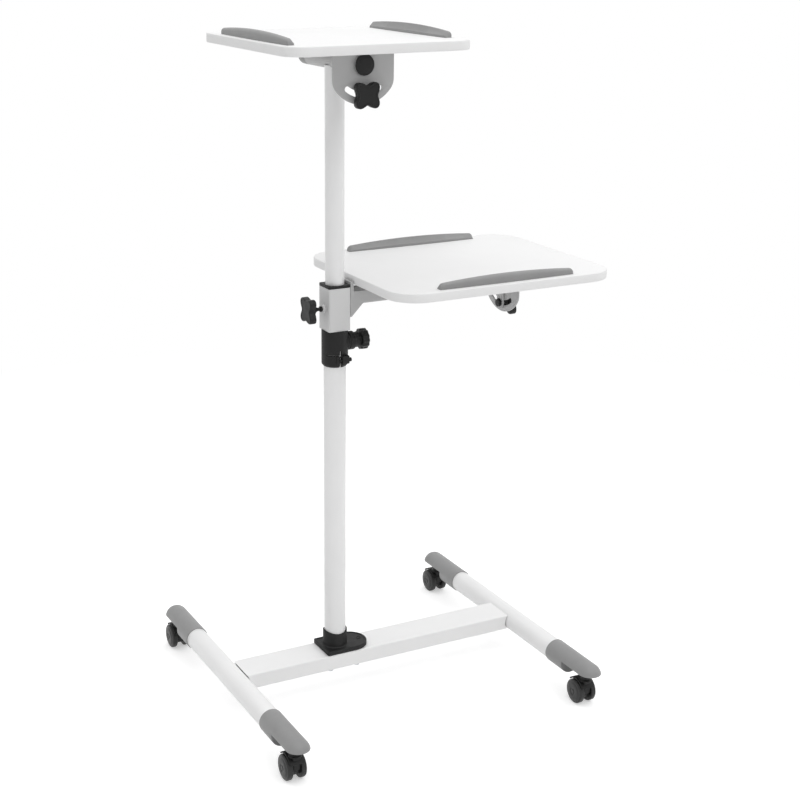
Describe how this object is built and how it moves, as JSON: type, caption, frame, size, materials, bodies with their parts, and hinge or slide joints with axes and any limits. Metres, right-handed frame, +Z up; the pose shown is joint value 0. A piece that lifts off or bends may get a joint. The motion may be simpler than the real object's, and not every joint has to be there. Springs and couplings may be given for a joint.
{
  "type": "audio visual cart",
  "caption": "Wheeled H-base stand with a telescopic round mast carrying tilting rounded boards, the lower one on a sliding and swivelling side arm",
  "frame": {"origin": "on the floor under the middle of the bounding box", "axes": "+Z up; +X along the cross beam towards the lower shelf's side; -Y is the side with the top shelf's slotted bracket, which faces the viewer"},
  "size_m": [0.667, 0.5815, 1.1578],
  "materials": {
    "white_enamel": "semi-gloss white powder coat on steel tube",
    "white_laminate": "satin white laminate on board",
    "grey_enamel": "satin mid grey powder coat on steel",
    "grey_plastic": "fine-grained grey moulded plastic",
    "sleeve_enamel": "satin light grey powder coat on steel",
    "black_plastic": "fine-grained black moulded plastic",
    "wheel_plastic": "smooth black nylon",
    "zinc_steel": "bright zinc plate"
  },
  "bodies": {
    "base": {"leg_left": "white_enamel", "leg_right": "white_enamel", "cross_beam": "white_enamel", "leg_cap_front_left": "grey_plastic", "leg_cap_front_right": "grey_plastic", "leg_cap_rear_left": "grey_plastic", "leg_cap_rear_right": "grey_plastic", "mast_socket": "black_plastic", "socket_bolt_front_left": "zinc_steel", "socket_bolt_front_right": "zinc_steel", "socket_bolt_rear_left": "zinc_steel", "socket_bolt_rear_right": "zinc_steel", "lower_mast_tube": "white_enamel", "clamp_collar": "black_plastic", "collar_pinch_screw": "black_plastic"},
    "caster_front_left": {"caster_housing_front_left": "black_plastic", "caster_stem_front_left": "zinc_steel", "caster_axle_front_left": "zinc_steel"},
    "wheel_front_left_left": {"caster_wheel_front_left_left": "wheel_plastic"},
    "wheel_front_left_right": {"caster_wheel_front_left_right": "wheel_plastic"},
    "caster_front_right": {"caster_housing_front_right": "black_plastic", "caster_stem_front_right": "zinc_steel", "caster_axle_front_right": "zinc_steel"},
    "wheel_front_right_left": {"caster_wheel_front_right_left": "wheel_plastic"},
    "wheel_front_right_right": {"caster_wheel_front_right_right": "wheel_plastic"},
    "caster_rear_left": {"caster_housing_rear_left": "black_plastic", "caster_stem_rear_left": "zinc_steel", "caster_axle_rear_left": "zinc_steel"},
    "wheel_rear_left_left": {"caster_wheel_rear_left_left": "wheel_plastic"},
    "wheel_rear_left_right": {"caster_wheel_rear_left_right": "wheel_plastic"},
    "caster_rear_right": {"caster_housing_rear_right": "black_plastic", "caster_stem_rear_right": "zinc_steel", "caster_axle_rear_right": "zinc_steel"},
    "wheel_rear_right_left": {"caster_wheel_rear_right_left": "wheel_plastic"},
    "wheel_rear_right_right": {"caster_wheel_rear_right_right": "wheel_plastic"},
    "mast_glide": {"mast_glide_bush": "black_plastic"},
    "upper_mast": {"upper_mast_tube": "white_enamel", "top_pivot_tube": "grey_enamel", "top_pivot_cap_front": "black_plastic", "top_pivot_cap_rear": "grey_plastic", "top_clamp_bolt": "black_plastic"},
    "top_shelf": {"top_shelf_board": "white_laminate", "top_shelf_bracket": "grey_enamel", "top_stop_left": "grey_plastic", "top_stop_right": "grey_plastic"},
    "top_knob": {"top_tilt_knob": "black_plastic"},
    "carriage_glide": {"sleeve_glide_ring": "black_plastic"},
    "carriage": {"shelf_sleeve": "sleeve_enamel", "sleeve_lining": "black_plastic", "shelf_arm": "grey_enamel", "lower_pivot_tube": "grey_enamel", "lower_pivot_cap": "black_plastic", "lower_clamp_bolt": "black_plastic"},
    "lower_shelf": {"lower_shelf_board": "white_laminate", "lower_shelf_bracket": "grey_enamel", "lower_stop_front": "grey_plastic", "lower_stop_rear": "grey_plastic"},
    "lower_knob": {"lower_tilt_knob": "black_plastic"},
    "sleeve_clamp": {"sleeve_knob": "black_plastic"},
    "collar_clamp": {"collar_knob": "black_plastic"}
  },
  "joints": [
    {"name": "caster_swivel_front_left", "type": "hinge", "parent": "base", "child": "caster_front_left", "pos_m": [-0.3125, -0.259, 0.055], "axis": [0, 0, 1], "continuous": true},
    {"name": "wheel_roll_front_left_left", "type": "hinge", "parent": "caster_front_left", "child": "wheel_front_left_left", "pos_m": [-0.32575, -0.249, 0.02181], "axis": [1, 0, 0], "continuous": true},
    {"name": "wheel_roll_front_left_right", "type": "hinge", "parent": "caster_front_left", "child": "wheel_front_left_right", "pos_m": [-0.29925, -0.249, 0.02181], "axis": [1, 0, 0], "continuous": true},
    {"name": "caster_swivel_front_right", "type": "hinge", "parent": "base", "child": "caster_front_right", "pos_m": [0.2495, -0.259, 0.055], "axis": [0, 0, 1], "continuous": true},
    {"name": "wheel_roll_front_right_left", "type": "hinge", "parent": "caster_front_right", "child": "wheel_front_right_left", "pos_m": [0.23625, -0.249, 0.02181], "axis": [1, 0, 0], "continuous": true},
    {"name": "wheel_roll_front_right_right", "type": "hinge", "parent": "caster_front_right", "child": "wheel_front_right_right", "pos_m": [0.26275, -0.249, 0.02181], "axis": [1, 0, 0], "continuous": true},
    {"name": "caster_swivel_rear_left", "type": "hinge", "parent": "base", "child": "caster_rear_left", "pos_m": [-0.3125, 0.259, 0.055], "axis": [0, 0, 1], "continuous": true},
    {"name": "wheel_roll_rear_left_left", "type": "hinge", "parent": "caster_rear_left", "child": "wheel_rear_left_left", "pos_m": [-0.32575, 0.269, 0.02181], "axis": [1, 0, 0], "continuous": true},
    {"name": "wheel_roll_rear_left_right", "type": "hinge", "parent": "caster_rear_left", "child": "wheel_rear_left_right", "pos_m": [-0.29925, 0.269, 0.02181], "axis": [1, 0, 0], "continuous": true},
    {"name": "caster_swivel_rear_right", "type": "hinge", "parent": "base", "child": "caster_rear_right", "pos_m": [0.2495, 0.259, 0.055], "axis": [0, 0, 1], "continuous": true},
    {"name": "wheel_roll_rear_right_left", "type": "hinge", "parent": "caster_rear_right", "child": "wheel_rear_right_left", "pos_m": [0.23625, 0.269, 0.02181], "axis": [1, 0, 0], "continuous": true},
    {"name": "wheel_roll_rear_right_right", "type": "hinge", "parent": "caster_rear_right", "child": "wheel_rear_right_right", "pos_m": [0.26275, 0.269, 0.02181], "axis": [1, 0, 0], "continuous": true},
    {"name": "mast_height", "type": "slide", "parent": "base", "child": "mast_glide", "axis": [0, 0, 1], "range_m": [0, 0.12]},
    {"name": "mast_swivel", "type": "hinge", "parent": "mast_glide", "child": "upper_mast", "pos_m": [-0.1125, 0, 0.64], "axis": [0, 0, 1], "continuous": true},
    {"name": "top_shelf_tilt", "type": "hinge", "parent": "upper_mast", "child": "top_shelf", "pos_m": [-0.1125, 0, 1.1065], "axis": [0, 1, 0], "range_deg": [-37, 37]},
    {"name": "top_knob_turn", "type": "hinge", "parent": "upper_mast", "child": "top_knob", "pos_m": [-0.1125, -0.108, 1.061], "axis": [0, -1, 0], "range_deg": [0, 360]},
    {"name": "shelf_height", "type": "slide", "parent": "upper_mast", "child": "carriage_glide", "axis": [0, 0, 1], "range_m": [0, 0.11]},
    {"name": "shelf_swivel", "type": "hinge", "parent": "carriage_glide", "child": "carriage", "pos_m": [-0.1125, 0, 0.702], "axis": [0, 0, 1], "continuous": true},
    {"name": "lower_shelf_tilt", "type": "hinge", "parent": "carriage", "child": "lower_shelf", "pos_m": [0.1185, 0, 0.7185], "axis": [1, 0, 0], "range_deg": [-37, 37]},
    {"name": "lower_knob_turn", "type": "hinge", "parent": "carriage", "child": "lower_knob", "pos_m": [0.2265, 0, 0.673], "axis": [1, 0, 0], "range_deg": [0, 360]},
    {"name": "sleeve_knob_turn", "type": "hinge", "parent": "carriage", "child": "sleeve_clamp", "pos_m": [-0.1585, 0, 0.701], "axis": [-1, 0, 0], "range_deg": [0, 360]},
    {"name": "collar_knob_turn", "type": "hinge", "parent": "base", "child": "collar_clamp", "pos_m": [-0.0595, 0, 0.6407], "axis": [1, 0, 0], "range_deg": [0, 360]}
  ]
}
